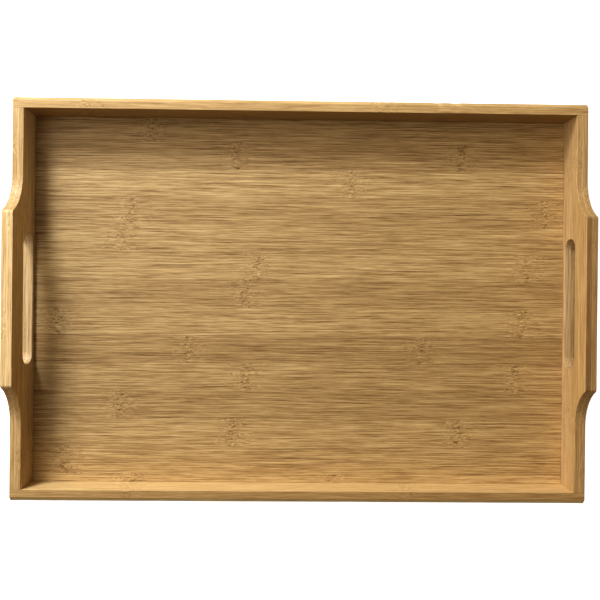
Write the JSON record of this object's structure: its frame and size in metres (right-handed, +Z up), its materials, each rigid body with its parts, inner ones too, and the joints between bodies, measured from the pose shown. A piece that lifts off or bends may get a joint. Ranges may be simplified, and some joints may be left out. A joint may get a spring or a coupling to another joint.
{
  "type": "serving tray",
  "caption": "Rectangular wooden tray with low walls and a raised handle with a hand slot at each end, for carrying food and drink.",
  "frame": {"origin": "middle of the footprint, on the surface that the tray stands on", "axes": "+X along the tray towards the right handle, +Y across it towards the back rail, +Z up"},
  "size_m": [0.4, 0.28, 0.05],
  "materials": {
    "rail_bamboo": "satin lacquered bamboo, fine grain along the tray",
    "panel_bamboo": "satin lacquered bamboo, fine grain across the tray",
    "floor_bamboo": "satin lacquered bamboo slats with knots",
    "dowel_beech": "raw wood"
  },
  "bodies": {
    "root": {"back_rail": "rail_bamboo", "front_rail": "rail_bamboo", "left_panel_inner": "panel_bamboo", "left_panel_outer": "panel_bamboo", "right_panel_inner": "panel_bamboo", "right_panel_outer": "panel_bamboo", "floor_slat_01": "floor_bamboo", "floor_slat_02": "floor_bamboo", "floor_slat_03": "floor_bamboo", "floor_slat_04": "floor_bamboo", "floor_slat_05": "floor_bamboo", "floor_slat_06": "floor_bamboo", "floor_slat_07": "floor_bamboo", "floor_slat_08": "floor_bamboo", "floor_slat_09": "floor_bamboo", "floor_slat_10": "floor_bamboo", "floor_slat_11": "floor_bamboo", "floor_slat_12": "floor_bamboo", "floor_slat_13": "floor_bamboo", "floor_slat_14": "floor_bamboo", "dowel_back_left_lower": "dowel_beech", "dowel_back_left_upper": "dowel_beech", "dowel_back_right_lower": "dowel_beech", "dowel_back_right_upper": "dowel_beech", "dowel_front_left_lower": "dowel_beech", "dowel_front_left_upper": "dowel_beech", "dowel_front_right_lower": "dowel_beech", "dowel_front_right_upper": "dowel_beech"}
  },
  "joints": []
}
